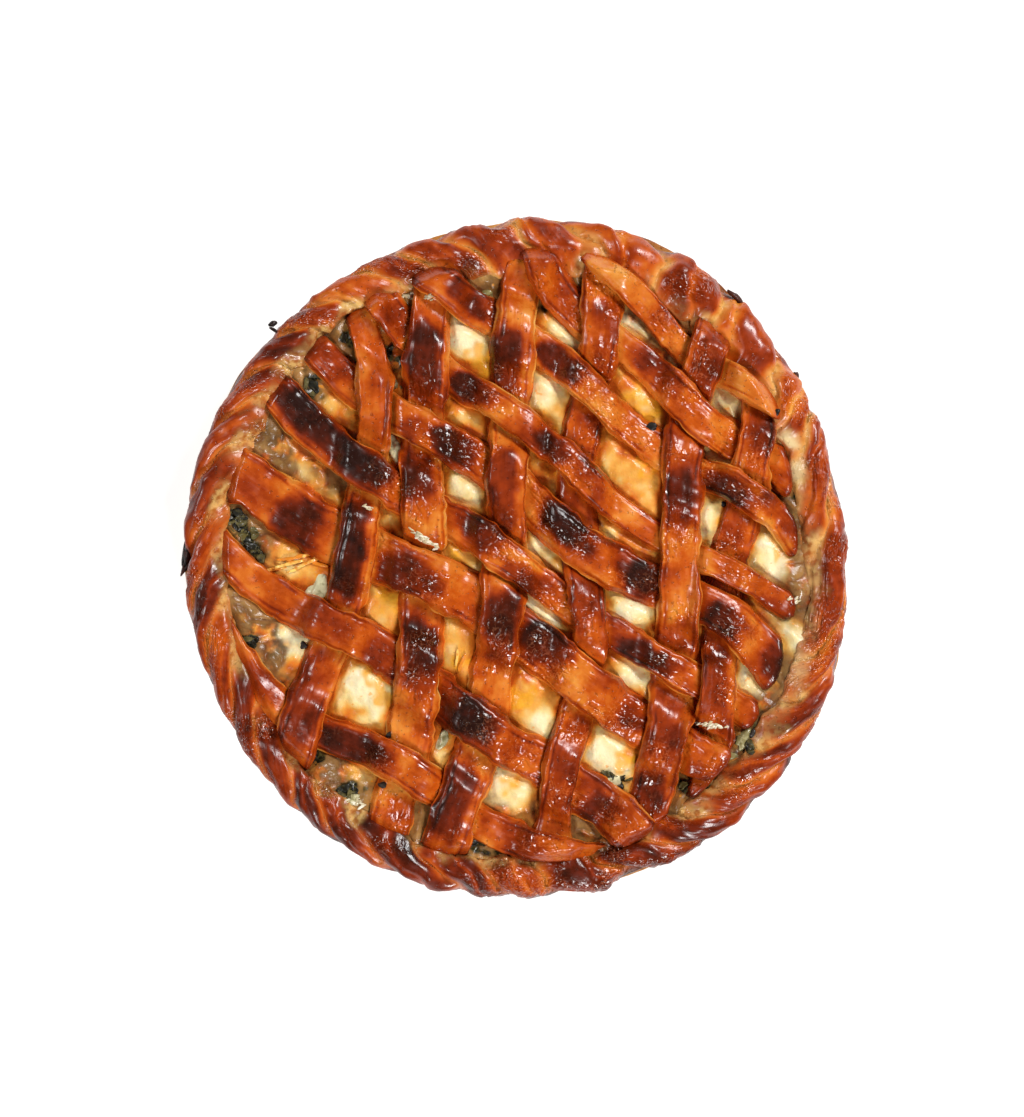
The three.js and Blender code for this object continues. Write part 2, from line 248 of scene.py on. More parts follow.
UPRIGHT_STRIPS = (
    ((122.5, -139), (15.4, 2.4, 1.3, 1.3), (13, 17), 0.42, ((0.41, 0.64, 1.0), (0.75, 0.97, 0.73))),
    ((106, -115.5), (4.5, -3.1, 0, -0.3), (16, 18), 0.46,
     ((0.09, 0.23, 0.9), (0.32, 0.42, 0.88), (0.61, 0.74, 0.93), (0.92, 1.0, 0.66))),
    ((89, -105), (9.1, -3.9, 0, -0.4), (15, 18), 0.45,
     ((0.11, 0.23, 0.87), (0.31, 0.46, 0.82), (0.54, 0.65, 0.9), (0.84, 1.0, 0.8))),
    ((74, -84), (2.5, -3.4, -0.1, 3), (15.5, 14.5), 0.48,
     ((0.04, 0.17, 0.68), (0.23, 0.3, 0.72), (0.51, 0.6, 0.66), (0.75, 0.88, 0.7))),
    ((50, -66.5), (0.5, -5.3, -0.3, -0.5), (16, 17.5), 0.46,
     ((0.01, 0.11, 0.74), (0.28, 0.4, 0.87), (0.56, 0.64, 0.64), (0.7, 0.85, 0.72), (0.87, 0.96, 0.88))),
    ((37.5, -52), (-1.1, 0.8, 1.7, -0.1), (15, 15.5), 0.5,
     ((0.05, 0.2, 0.77), (0.31, 0.4, 0.72), (0.63, 0.84, 0.8))),
)

# The slanted strip that slips out of turn, from this upright strip on
SLIPPED_STRIP = 4
SLIP_FROM = 4

# What shows in the windows, as places across and up the pie
PALE_WINDOWS = (
    (-96, -34), (-62, -55), (-6, -96), (50, -45), (12, 71), (-23, 94), (113, -34), (113, 45),
    (42, 99), (36, -81), (9, -19), (-23, 29), (82, 39), (90, 68), (80, 16), (105, 0), (48, -23), (11, 6),
    (17, 91), (96, -51), (12, -71),
)
GOLDEN_WINDOWS = (
    (50, 66), (-25, 0), (-54, -17), (-92, 0), (43, -86), (-17, 86), (38, -17), (-87, 35),
    (9, 96), (23, 25), (50, 35),
)
FOLDED_DOUGH = (
    (-110, 51), (-103, 46), (-104, 38), (-95, 31), (-112, 28), (-82, 41), (-76, 34), (-107, -27),
    (-112, -18), (-104, -40), (-96, 55), (-90, -66), (-100, -56), (-46, -88), (-80, -88), (-10, -108),
    (15, -106), (24, -110), (30, 104), (58, 96),
    (66, 84), (52, 106), (104, 60), (117, 12), (119, 0), (119, -14), (113, -48), (104, -62), (88, -84),
    (60, -108), (96, 74), (-30, 112), (2, 116), (-60, 106), (-108, 8),
)
ORANGE_STAINS = (
    (-70, -91), (43, -85), (48, 67), (53, 60), (-17, 85), (-14, 81), (1, -58), (-54, -17), (-25, -42),
    (-2, -92), (-60, -52), (-57, -58), (52, 40), (84, 12), (26, 29), (108, 4), (-27, 4),
)
DARK_GREENS = (
    (-110, 2), (-116, 13), (-113, 8), (97, -72), (93, -78), (84, -90),
    (-73, 103), (-71, 91), (-68, 98), (-87, 75), (-85, 68), (-55, 87), (-53, 81), (-50, 117), (29, 115),
    (36, 111), (9, 108), (11, 114), (-118, 18), (-114, 8), (-38, -99), (-20, -118), (-16, -114),
    (-11, -117), (-15, -121), (-8, -120), (36, -91), (43, -93), (40, -97), (69, -95), (-84, -82),
    (-90, -79), (-103, -70), (-74, -97), (-69, -98),
    (107, 61), (71, 91), (116, 25), (50, -110), (57, -104), (-114, -34), (75, -96),
)


def ease(value):
    """Eases a value from 0 to 1."""
    share = np.clip(value, 0, 1)
    return share * share * (3 - 2 * share)


def between(first, second, share):
    """The value at a share of the way from first to second."""
    return first + (second - first) * share


NOISE_TABLE = np.random.default_rng(11).uniform(-1, 1, 8192)


def uneven(places, size, seed=0):
    """Smooth seeded lumps between -1 and 1, about one size across."""
    spot = places / size + 31.7 * seed
    cell = np.floor(spot).astype(np.int64)
    share = spot - cell
    share = share * share * (3 - 2 * share)
    total = np.zeros(len(places))
    for corner in np.ndindex(*(2,) * places.shape[1]):
        weight = np.ones(len(places))
        key = np.zeros(len(places), np.int64)
        for axis, far in enumerate(corner):
            weight *= share[:, axis] if far else 1 - share[:, axis]
            key = key * 7919 + (cell[:, axis] + far) * 104729
        total += weight * NOISE_TABLE[(key ^ (key >> 13)) % len(NOISE_TABLE)]
    return total


def stacked(*columns):
    """One row of values for each point."""
    return np.stack(np.broadcast_arrays(*columns), -1)


def outline_share(angle):
    """The pie's slow waves, as a share of a true circle."""
    waves = (share * np.cos(count * angle - math.radians(phase)) for count, share, phase in OUTLINE_WAVES)
    return 1 + sum(waves)


def rim_share(places):
    """Distance from the middle as a share of the crust's inner wall."""
    angle = np.arctan2(places[:, 1], places[:, 0])
    return np.hypot(places[:, 0], places[:, 1]) / (WALL_INNER_RADIUS * outline_share(angle))


def round_the_rim(table, angle):
    """A value that changes round the rim, from a table by angle in degrees."""
    degrees, values = zip(*table)
    return np.interp(np.degrees(angle) % 360, degrees, values, period=360)


def ring(radius, angle):
    """Places round the middle, across and up."""
    return radius * np.cos(angle), radius * np.sin(angle)


def filling_dome(places):
    """The level that the lattice lies on."""
    share = np.minimum(rim_share(places), 1.1)
    return between(FILLING_MIDDLE_HEIGHT, FILLING_EDGE_HEIGHT, share ** 2)


def pick(*pieces):
    """Selects only these pieces, with the first one active."""
    bpy.ops.object.select_all(action="DESELECT")
    for piece in pieces:
        piece.select_set(True)
    if pieces:
        bpy.context.view_layer.objects.active = pieces[0]


def points_of(piece):
    """The places of a piece's points, a row each."""
    points = np.empty(len(piece.data.vertices) * 3)
    piece.data.vertices.foreach_get("co", points)
    return points.reshape(-1, 3)


def new_sheet(name, columns, rows):
    """A flat sheet of dough cut into a grid, with each point's share across and up."""
    pick()
    bpy.ops.mesh.primitive_grid_add(x_subdivisions=columns, y_subdivisions=rows, size=1)
    sheet = bpy.context.object
    sheet.name = name
    sheet.data.name = name
    points = points_of(sheet)
    return sheet, points[:, 0] + 0.5, points[:, 1] + 0.5


def shape(piece, across, up, height):
    """Moves every point of a piece to its place in the pie."""
    points = np.stack([across + PIE_MIDDLE[0], up + PIE_MIDDLE[1], height], -1) * MM
    piece.data.vertices.foreach_set("co", points.ravel())
    piece.data.update()


def note(piece, **marks):
    """Keeps what the finish has to know about each point, such as its browning."""
    for name, values in marks.items():
        kind = "FLOAT_VECTOR" if values.ndim == 2 else "FLOAT"
        field = "vector" if values.ndim == 2 else "value"
        mark = piece.data.attributes.new(name, kind, "POINT")
        mark.data.foreach_set(field, np.ascontiguousarray(values, np.float32).ravel())


def close_seams(piece):
    """Welds a rolled sheet along its seam, closes its ends and turns its faces outwards."""
    pick(piece)
    bpy.ops.object.mode_set(mode="EDIT")
    bpy.ops.mesh.select_all(action="SELECT")
    bpy.ops.mesh.remove_doubles(threshold=WELD * MM)
    bpy.ops.mesh.fill_holes(sides=0)
    bpy.ops.mesh.select_all(action="SELECT")
    bpy.ops.mesh.normals_make_consistent(inside=False)
    bpy.ops.object.mode_set(mode="OBJECT")


def dress(piece, finish, slot, *nodes):
    """Gives a finished piece its material and its place on the frame."""
    pick(piece)
    bpy.ops.object.shade_smooth()
    piece.data.materials.clear()
    piece.data.materials.append(finish)
    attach(piece, "root")
    if nodes:
        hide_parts(*nodes)


class Strip:
    """One lattice strip: its run between two rim angles, its width and its browning."""

    def __init__(self, name, angles, drift, widths, tone, burnt):
        self.name = name
        self.drift = drift
        self.widths = widths
        self.tone = tone
        self.burnt = burnt
        ends = np.radians(angles)
        self.start = STRIP_REACH * np.array([np.cos(ends[0]), np.sin(ends[0])])
        self.run = STRIP_REACH * np.array([np.cos(ends[1]), np.sin(ends[1])]) - self.start
        self.length = math.hypot(*self.run)
        self.left = np.array([-self.run[1], self.run[0]]) / self.length
        self.crosses_over = []
        self.crosses_under = []
        shares = np.linspace(-TRACE_OVERRUN, 1 + TRACE_OVERRUN, TRACE_POINTS)
        self.trace = self.middle(shares)
        self.trace_half_width = self.half_width(shares)

    def middle(self, share):
        """The strip's middle line at each share of its run."""
        sway = sum(drift * np.sin(turn * math.pi * share) for turn, drift in enumerate(self.drift, 1))
        return self.start + np.multiply.outer(share, self.run) + np.multiply.outer(sway, self.left)

    def sideways(self, share):
        """The direction to the strip's left at each share of its run."""
        bend = sum(drift * turn * math.pi * np.cos(turn * math.pi * share)
                   for turn, drift in enumerate(self.drift, 1))
        heading = self.run + np.multiply.outer(bend, self.left)
        heading /= np.linalg.norm(heading, axis=-1, keepdims=True)
        return np.stack([-heading[..., 1], heading[..., 0]], -1)

    def half_width(self, share):
        """Half of the strip's width at each share of its run."""
        return between(self.widths[0], self.widths[1], np.clip(share, 0, 1)) / 2

    def edge_distance(self, places):
        """How far places lie outside the strip's edge; below 0 they are under it."""
        distances = np.empty(len(places))
        for first in range(0, len(places), TRACE_BATCH):
            part = slice(first, first + TRACE_BATCH)
            across = places[part, None, 0] - self.trace[:, 0]
            up = places[part, None, 1] - self.trace[:, 1]
            apart = np.hypot(across, up)
            nearest = apart.argmin(1)
            distances[part] = apart[np.arange(len(nearest)), nearest] - self.trace_half_width[nearest]
        return distances

    def lift(self, places, depth=LIFT_DEPTH):
        """How high the strip is raised over the strips that it crosses."""
        height = np.zeros(len(places))
        if depth == 0:
            return height
        for other in self.crosses_over:
            rest = 1 - ease((other.edge_distance(places) - LIFT_MARGIN) / LIFT_FALL)
            near = np.flatnonzero(rest)
            carried = STRIP_THICKNESS + OVER_CLEARANCE + other.lift(places[near], depth - 1)
            height[near] = np.maximum(height[near], carried * rest[near])
        return height


def weave():
    """All strips of the lattice, each knowing which ones it crosses over and under."""
    slanted = [Strip(f"slanted_strip_{number}", *facts) for number, facts in enumerate(SLANTED_STRIPS, 1)]
    upright = [Strip(f"upright_strip_{number}", *facts) for number, facts in enumerate(UPRIGHT_STRIPS, 1)]
    for row, slant in enumerate(slanted, 1):
        for column, post in enumerate(upright, 1):
            slip = 1 if row == SLIPPED_STRIP and column >= SLIP_FROM else 0
            over, under = (slant, post) if (row + column + slip) % 2 else (post, slant)
            over.crosses_over.append(under)
            under.crosses_under.append(over)
    return slanted + upright


LATTICE = weave()


def lattice_distance(places):
    """How far places lie from the nearest strip of the lattice."""
    return np.min([strip.edge_distance(places) for strip in LATTICE], axis=0)


def nearness(places, spots, reach):
    """1 on any of the spots, falling to 0 at their reach."""
    near = np.zeros(len(places))
    for across, up in spots:
        apart = np.hypot(places[:, 0] - across, places[:, 1] - up)
        near = np.maximum(near, 1 - ease(apart / reach))
    return near


def dough_folds(places):
    """Soft humps with sharp creases between them."""
    return np.minimum(1, 2.2 * np.abs(uneven(places * (1.0, 1.3), 8, 4)))


def rim_rise(places):
    """How far the filling comes up by the rim."""
    return RIM_RISE * ease((rim_share(places) - RIM_RISE_FROM) / RIM_RISE_RUN)


def filling_height(places, distance):
    """The filling's top: it swells in the windows and sinks a little under the strips."""
    swell = ease((distance + 1.2) / 6.0)
    lumps = 0.5 + 0.5 * uneven(places, 8.0, 1)
    fine = 0.35 * uneven(places, 3.1, 2) + 0.14 * uneven(places, 1.4, 3)
    pale = nearness(places, PALE_WINDOWS, PALE_SWELL_REACH)
    greens = nearness(places, DARK_GREENS, GREEN_SINK_REACH)
    dough = nearness(places, FOLDED_DOUGH, FOLD_REACH)
    fine = fine + 1.1 * dough * (2 * dough_folds(places) - 0.8) + 0.4 * dough * uneven(places, 3, 5)
    rise = WINDOW_SWELL * swell * (0.5 + 0.5 * lumps + 0.35 * pale - 0.8 * greens)
    return filling_dome(places) + FILLING_LIFT + rise + rim_rise(places) + fine * (0.3 + swell)


def end_climb(places):
    """How far strips ride up over the rim before they go in under the rope."""
    edge = rim_share(places) * WALL_INNER_RADIUS
    climb = END_CLIMB * ease((edge - CLIMB_FROM) / CLIMB_RUN)
    return rim_rise(places) + climb - END_DIP * ease((edge - DIP_FROM) / DIP_RUN)


def section_rows(profile):
    """Spreads a profile's points over mesh rows; gives two values for each row."""
    counts = np.array([point[2] for point in profile])
    stops = np.concatenate([[0], np.cumsum(counts)[:-1]])
    rows = np.arange(stops[-1] + 1)
    return np.interp(rows, stops, [p[0] for p in profile]), np.interp(rows, stops, [p[1] for p in profile])


def rounded(values, passes, axis=-1, closed=False):
    """Softens values along one axis by averaging neighbours."""
    values = np.moveaxis(values, axis, -1)
    for _ in range(passes):
        if closed:
            before, after = np.roll(values, 1, -1), np.roll(values, -1, -1)
        else:
            before = np.concatenate([values[..., :1], values[..., :-1]], -1)
            after = np.concatenate([values[..., 1:], values[..., -1:]], -1)
        values = 0.25 * before + 0.5 * values + 0.25 * after
    return np.moveaxis(values, -1, axis)


def strip_ends(strip, lateral):
    """The shares of the run where a line along the strip goes in under the rope."""
    shares = np.linspace(-END_OVERRUN, 1 + END_OVERRUN, END_POINTS)
    starts, ends = [], []
    for side in lateral:
        line = strip.middle(shares) + strip.sideways(shares) * (side * strip.half_width(shares))[:, None]
        tuck = round_the_rim(STRIP_TUCK, np.arctan2(line[:, 1], line[:, 0]))
        tuck = tuck - STRIP_END_ROUNDING * abs(side) ** 3
        inside = shares[rim_share(line) * WALL_INNER_RADIUS < tuck]
        starts.append(inside[0])
        ends.append(inside[-1])
    return np.array(starts), np.array(ends)


def browned(strip, share, lateral, wobble):
    """Browning of a strip's top, and how crinkled it is past each browned stretch."""
    deepest = np.full_like(share, strip.tone)
    crinkle = np.zeros_like(share)
    for number, (start, end, depth) in enumerate(strip.burnt):
        side = np.abs(lateral - 0.3 * math.sin(5.0 * number + 40.0 * start))
        across = 1 - ease((side + 0.06 * wobble - 0.5) / 0.6)
        bow = BROWN_BOW * side ** 2.2
        rise = ease(((share - start) * strip.length - 0.7 * bow + 1.2 * wobble) / BROWN_RISE + 0.3)
        fall = ease(((end - share) * strip.length - 0.4 * bow + 1.6 * wobble) / BROWN_FALL + 0.6)
        deepest = np.maximum(deepest, between(strip.tone, BROWN_DEPTH * depth, rise * fall * across))
        past = ((share - end) * strip.length + 1.5 * wobble) / CRINKLE_RUN
        crinkle = np.maximum(crinkle, np.exp(-past ** 2) * across * (0.5 + 0.5 * depth))
    return deepest, crinkle


def make_strip(strip, finish):
    """A strip: a sheet rolled to a flat loaf, draped over the strips it crosses."""
    half_lateral, half_height = section_rows(STRIP_SECTION)
    lateral = np.concatenate([half_lateral, -half_lateral[-2::-1]])
    height = np.concatenate([half_height, half_height[-2::-1]])
    lateral[:-1] = rounded(lateral[:-1], 1, closed=True)
    height[:-1] = rounded(height[:-1], 1, closed=True)
    lateral[-1], height[-1] = lateral[0], height[0]
    columns = round(strip.length / STRIP_STEP)
    rows = len(lateral) - 1
    piece, along, _ = new_sheet(strip.name + "_baked", columns, rows)
    grid = (rows + 1, columns + 1)
    lateral = np.repeat(lateral, columns + 1)
    height = np.repeat(height, columns + 1)
    starts, ends = strip_ends(strip, lateral.reshape(grid)[:, 0])
    share = between(np.repeat(starts, columns + 1), np.repeat(ends, columns + 1), along)
    seed = sum(map(ord, strip.name))
    lay = stacked(share * strip.length, lateral * strip.half_width(share))
    edge_run = stacked(lay[:, 0], 9 * np.sign(lateral))
    ragged = 1 + 0.1 * uneven(edge_run, 9, seed) + 0.05 * uneven(edge_run, 2.8, seed + 1)
    skirt = ease(0.5 + 0.9 * uneven(edge_run, 10, seed + 14))
    spread = np.clip(np.abs(lateral) - 0.9, 0, None) * np.sign(lateral)
    reach = (lateral + spread * (1.3 * skirt - 0.5)) * strip.half_width(share) * ragged
    place = strip.middle(share) + strip.sideways(share) * reach[:, None]
    lift = strip.lift(place)
    soft_lift = rounded(lift.reshape(grid), DRAPE_PASSES).ravel()
    lift = between(lift, soft_lift, ease(height * 1.6 - 0.3))
    pressed = np.zeros(len(place))
    for other in strip.crosses_under:
        apart = other.edge_distance(place) + PRESS_MARGIN
        pressed = np.maximum(pressed, 1 - ease(apart / PRESS_FALL))
    thinned = ease((rim_share(place) * WALL_INNER_RADIUS - THINNED_FROM) / THINNED_RUN)
    wobble = 2.4 * uneven(lay, 6.0, seed + 2) + 0.6 * uneven(lay, 2.2, seed + 3)
    browning, crinkle = browned(strip, share, lateral, wobble)
    top = ease((height - 0.62) / 0.25)
    puff = 1 + 0.1 * uneven(lay, 14, seed + 4) + 0.05 * uneven(lay, 5, seed + 5)
    end_gap = strip.length * (np.repeat(ends - starts, columns + 1)) * np.minimum(along, 1 - along)
    end_round = np.sqrt(1 - (1 - np.clip(end_gap / END_BEVEL, 0, 1)) ** 2)
    thickness = STRIP_THICKNESS * (puff - 0.16 * pressed - 0.3 * thinned) * (0.35 + 0.65 * end_round)
    crinkled = crinkle * (0.75 + 0.6 * uneven(lay, 4, seed + 8))
    patches = ease(1.8 * uneven(lay, 11, seed + 17) - 0.45)
    crinkled = np.clip(np.maximum(crinkled, 0.8 * patches), 0, 1)
    crinkled *= between(CALM_CRINKLE, 1, ease((place[:, 0] - CALM_SIDE) / CALM_WIDTH))
    relief = 0.28 * (1 - 2.6 * np.abs(uneven(lay, 2.6, seed + 9))) * (0.12 + crinkled)
    relief += 0.3 * uneven(lay, 4.5, seed + 13) + 0.2 * uneven(lay * (0.35, 1.4), 3.0, seed + 7)
    seam_side = SEAM_SIDE + 0.12 * uneven(edge_run, 16, seed + 10)
    seam = np.exp(-((np.abs(lateral) - seam_side) / 0.07) ** 2)
    seam *= ease(0.4 + 1.4 * uneven(edge_run, 12, seed + 11))
    relief -= 0.4 * seam
    curled = ease(0.3 + 1.2 * uneven(edge_run, 15, seed + 16))
    relief += 0.5 * curled * np.exp(-((np.abs(lateral) - CURL_SIDE) / 0.1) ** 2)
    level = filling_dome(place) + GAP + end_climb(place) + lift + height * thickness + relief * top
    side = ease((0.66 - height) / 0.4)
    valley = ease(pressed * 2) * 0.06
    edge_tone = 0.4 + 0.24 * uneven(edge_run, 10, seed + 15) + 0.5 * (browning - 0.45)
    layers = np.sin(2 * math.pi * (2.4 * height + 0.6 * uneven(edge_run, 9, seed + 19)))
    browning = between(browning - valley, edge_tone + 0.13 * layers, side)
    edge_line = np.exp(-((np.abs(lateral) - EDGE_LINE_SIDE) / 0.05) ** 2)
    broken = ease(0.4 + 1.3 * uneven(edge_run, 13, seed + 18))
    browning += 0.2 * (1 - ease(end_gap / 5)) + 0.16 * edge_line * broken
    browning += 0.14 * uneven(lay, 14, seed + 12) + 0.07 * uneven(lay, 5, seed + 6)
    browning += 0.2 * seam * top
    # Crinkled tops are painted a little lighter: a painted sheen of the glaze
    browning -= 0.06 * crinkled * top
    shape(piece, place[:, 0], place[:, 1], level)
    lay = stacked(lay[:, 0], lay[:, 1], 37.0 * seed)
    note(piece, browning=browning, crinkle=crinkled * top, lay=lay * MM)
    close_seams(piece)
    dress(piece, finish, "lattice", strip.name)
    return piece


def lobe_drift(angle):
    """How the lobes crowd and spread round the rim."""
    return (-0.82 + 1.03 * np.cos(angle + math.radians(75))
            + 0.28 * np.cos(2 * angle + math.radians(17)))


def signed_power(value, power):
    """A power that keeps the value's sign."""
    return np.sign(value) * np.abs(value) ** power


def make_rope(finish):
    """The rope edge: a sheet rolled both ways into a ring of lobes that overlap along their creases."""
    piece, around, turn = new_sheet("rope_edge_baked", ROPE_COLUMNS, ROPE_ROWS)
    angle = 2 * math.pi * around
    side = 2 * math.pi * turn - math.pi / 2
    out = PIE_RADIUS + ROPE_HALF_WIDTH * (np.cos(side) - 1)
    place = stacked(*ring(out, angle), ROPE_HALF_WIDTH * np.sin(side))
    upper = np.minimum(1 + np.sin(side), 1)
    inner = ease((side - 1.75) / 0.9)
    twist = round_the_rim(ROPE_TWIST, angle)
    lobe = ROPE_LOBES * around + lobe_drift(angle) + twist * (side / math.pi - 0.5)
    lobe += 0.55 * uneven(place, 40, 41) + 0.14 * uneven(place, 9, 42)
    number = np.floor(lobe).astype(int) % ROPE_LOBES
    across_lobe = lobe - np.floor(lobe)
    chance = np.random.default_rng(ROPE_SEED)
    lobe_size = chance.uniform(-1, 1, ROPE_LOBES)[number]
    lobe_tone = chance.uniform(-1, 1, ROPE_LOBES)[number]
    swell = np.abs(np.sin(math.pi * lobe))
    firmness = 0.3 + ease(0.6 + 0.9 * uneven(place, 22, 57))
    depth = ROPE_CREASE * upper * firmness * (1 - 0.6 * inner)
    folds = stacked(7.3 * number + 4.5 * across_lobe, 1.3 * side)
    crinkle = ease(0.1 + round_the_rim(ROPE_CRINKLE, angle) + 1.7 * uneven(place, 12, 51)) * upper
    fullness = 1 - depth * (1 - swell) ** 1.5 + 0.06 * lobe_size * upper * swell
    overlap = round_the_rim(ROPE_OVERLAP, angle)
    fullness += overlap * (across_lobe - 0.5) * ease(2.5 * swell) * upper
    fullness += round_the_rim(ROPE_BULGE, angle) * (swell - 0.6) * upper
    strands = np.abs(np.sin(math.pi * (2.5 * across_lobe + 0.5 * uneven(place, 9, 55))))
    strand_depth = round_the_rim(ROPE_STRANDS, angle)
    fullness -= strand_depth * upper * (1 - strands) * ease(0.4 + 1.2 * uneven(place, 16, 56))
    fullness += 0.08 * uneven(place, 11, 44) + 0.05 * uneven(place, 4.5, 45)
    fullness -= 0.09 * upper * np.abs(uneven(folds, 1.0, 46))
    webs = np.abs(uneven(stacked(0.5 * place[:, 0], 0.5 * place[:, 1], 1.4 * place[:, 2]), 4, 54))
    fullness += inner * (0.12 - 0.34 * webs) * ease(2 - side / 2)
    crumple = 0.025 + 0.05 * round_the_rim(ROPE_CRINKLE, angle)
    fullness += crumple * crinkle * (1 - 2.6 * np.abs(uneven(place, 2.8, 47)))
    second_at = chance.uniform(0.4, 0.8, ROPE_LOBES)[number]
    second_depth = chance.uniform(-0.08, 0.14, ROPE_LOBES).clip(0)[number]
    second_depth = np.maximum(second_depth, round_the_rim(ROPE_SECOND, angle))
    second = np.exp(-((across_lobe - second_at + 0.1 * uneven(place, 7, 52)) / 0.06) ** 2)
    fullness -= second_depth * second * upper * ease(2.5 * swell)
    flat = np.where(np.sin(side) > 0, 1.0, ROPE_SQUARENESS_BELOW)
    half_width = ROPE_HALF_WIDTH * round_the_rim(ROPE_WIDTH, angle)
    middle = PIE_RADIUS * outline_share(angle) - half_width + ROPE_STAND_OUT
    radius = middle + half_width * fullness * signed_power(np.cos(side), flat)
    tall = np.where(np.sin(side) > 0, ROPE_HEIGHT_ABOVE, ROPE_HEIGHT_BELOW)
    level = ROPE_MIDDLE_HEIGHT + tall * fullness * signed_power(np.sin(side), flat)
    flap = ease((side - FLAP_START) / FLAP_START_RUN)
    flap = flap * (1 - ease((side - FLAP_END) / FLAP_END_RUN))
    radius = radius - flap * round_the_rim(ROPE_FLAP, angle) * (0.8 + 0.5 * uneven(place, 13, 58))
    low = np.flatnonzero((side > FLAP_LAID[0]) & (side < FLAP_LAID[1]))
    spots = stacked(*ring(radius[low], angle[low]))
    wet = np.clip(round_the_rim(ROPE_CRINKLE, angle[low]) / 0.6, 0, 1)
    ridge = (0.6 + 1.4 * swell[low]) * (1 - 0.7 * wet) + 0.6 * uneven(place[low], 5, 59)
    ridge += 0.55 * wet * (1 - 2.6 * np.abs(uneven(spots, 2.8, 47)))
    tip = ease((side[low] - FLAP_TIP) / FLAP_TIP_RUN)
    laid = filling_height(spots, lattice_distance(spots)) + between(ridge, -FLAP_SINK, tip)
    level[low] = np.maximum(level[low], laid)
    shape(piece, *ring(radius, angle), level)
    soft_from = np.radians(round_the_rim(ROPE_SOFT_FROM, angle))
    soft = ease((side - soft_from + 0.7 * uneven(place, 8, 48) + 0.5 * (1 - swell)) / 0.8)
    soft *= (0.7 + 0.3 * uneven(place, 5, 53)) * (1 - 0.5 * ease(1.6 * swell - 0.5))
    web = round_the_rim(ROPE_WEB, angle) * (1 - ease(swell / 0.5)) * upper
    soft = np.maximum(soft, web * (0.7 + 0.5 * uneven(place, 6, 60)))
    lower_outer = ease(2 * np.cos(side)) * ease(-2.5 * np.sin(side) + 0.2)
    plump = ease(1.5 * swell) * (0.75 + 0.25 * np.sin(side))
    browning = 0.31 + plump * (0.33 + 0.1 * lobe_tone + 0.15 * uneven(place, 14, 49))
    browning += 0.1 * uneven(folds, 1.0, 50) + 0.3 * lower_outer + round_the_rim(ROPE_TONE, angle)
    browning += inner * (0.2 * webs - 0.08) - 1.2 * second_depth * second - 0.07 * (1 - strands) * upper
    lay = stacked(14.0 * side, 30.0 * number + 22.0 * across_lobe, 0.0)
    creamy = round_the_rim(ROPE_CREAM, angle) * ease((side - 1.9) / 0.5)
    creamy *= ease(0.7 + 0.8 * uneven(place, 6, 61))
    note(piece, browning=browning, crinkle=crinkle * (1 - 0.2 * soft), soft=np.maximum(soft, creamy),
         creamy=creamy, lay=lay * MM)
    close_seams(piece)
    dress(piece, finish, "edge", "rope_edge")
    return piece


def make_crust(finish):
    """The bottom crust: a sheet rolled round the pie and drawn along the crust's profile."""
    radii, heights = section_rows(CRUST_PROFILE)
    piece, around, _ = new_sheet("bottom_crust_baked", CRUST_COLUMNS, len(radii) - 1)
    angle = 2 * math.pi * around
    radius = np.repeat(radii, CRUST_COLUMNS + 1)
    level = np.repeat(heights, CRUST_COLUMNS + 1)
    place = stacked(*ring(PIE_RADIUS, angle), level)
    outside = np.repeat(ease((radii - 126) / 6), CRUST_COLUMNS + 1)
    lip = outside * np.exp(-((level - 17.5) / 3.0) ** 2)
    dents = uneven(place * (1, 1, 0.4), 24, 61)
    flaky = uneven(place * (0.3, 0.3, 1.6), 4, 62)
    fine = 0.2 * uneven(place, 5, 68) + 0.1 * uneven(place, 2.2, 63)
    spread = outside * (0.9 * dents + 0.3 * flaky + fine)
    peek = lip * (0.5 + 1.5 * ease(uneven(place, 30, 64) + 0.3))
    out = radius * outline_share(angle) + spread + peek
    shape(piece, *ring(out, angle), level)
    browning = 0.4 + 0.16 * uneven(place, 22, 65) + 0.1 * uneven(place, 6, 66) + 0.08 * flaky
    browning += lip * (0.28 + 0.2 * uneven(place, 12, 67))
    browning += 0.24 * outside * ease((5 - level) / 5)
    note(piece, browning=browning, crinkle=0.25 * outside, lay=place * MM)
    close_seams(piece)
    dress(piece, finish, "crust", "bottom_crust")
    return piece


